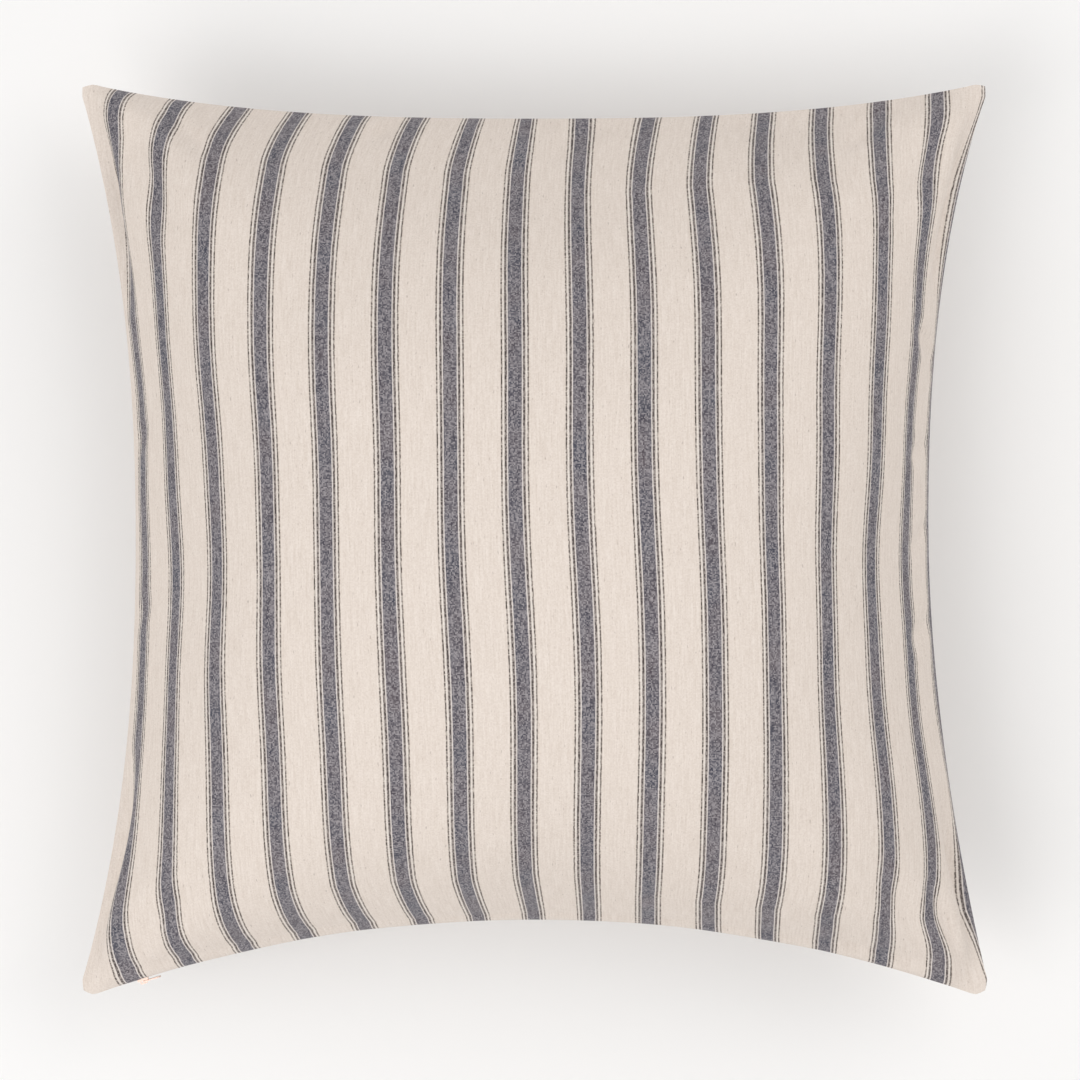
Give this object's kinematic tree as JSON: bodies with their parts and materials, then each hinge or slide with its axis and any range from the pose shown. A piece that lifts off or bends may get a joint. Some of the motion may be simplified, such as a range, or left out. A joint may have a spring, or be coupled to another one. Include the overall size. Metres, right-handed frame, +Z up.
{
  "type": "throw pillow",
  "caption": "Square knife-edge throw pillow in an undyed woven cover with slate-blue stripes, plump insert, bowed-in sides and a concealed zip along one edge",
  "frame": {"origin": "on the floor under the middle of the pillow as it lies flat on its back", "axes": "+Z up through the thickness, out of the striped front face; the stripes run along Y; the zip is along the -Y edge; +X to the right seen from the front with the zip at the bottom"},
  "size_m": [0.518, 0.518, 0.19],
  "materials": {
    "cover_weave": "undyed cotton and linen plain weave with woven slate-blue and charcoal stripes, matt",
    "sewing_thread": "spun polyester thread, undyed shade",
    "insert_casing": "white downproof cotton, matt",
    "fibre_filling": "loose feather and fibre filling",
    "zip_tape": "woven polyester tape dyed to match the cover",
    "zip_coil": "nylon monofilament coil, ecru",
    "zip_metal": "die-cast zinc alloy with a pale rose-brass plating, satin"
  },
  "bodies": {
    "cushion": {"cover_front_panel": "cover_weave", "cover_back_panel": "cover_weave", "cover_seam_stitching": "sewing_thread", "cover_overlock_thread": "sewing_thread", "insert_front_casing": "insert_casing", "insert_back_casing": "insert_casing", "insert_seam_stitching": "sewing_thread", "insert_filling": "fibre_filling", "zip_tape_front": "zip_tape", "zip_tape_back": "zip_tape", "zip_coil_front": "zip_coil", "zip_coil_back": "zip_coil", "zip_stitching_front": "sewing_thread", "zip_stitching_back": "sewing_thread", "zip_top_stop_front": "zip_metal", "zip_top_stop_back": "zip_metal", "zip_bottom_stop": "zip_metal"},
    "zip_slider": {"zip_slider_body": "zip_metal"},
    "zip_pull": {"zip_pull_tab": "zip_metal"}
  },
  "joints": [
    {"name": "zip_travel", "type": "hinge", "parent": "cushion", "child": "zip_slider", "pos_m": [0, -0.94156, 0.086], "axis": [0, 0, -1], "range_deg": [0, 35.36]},
    {"name": "pull_swing", "type": "hinge", "parent": "zip_slider", "child": "zip_pull", "pos_m": [-0.2209, -0.25071, 0.086], "axis": [0, 0, -1], "range_deg": [0, 178]}
  ]
}
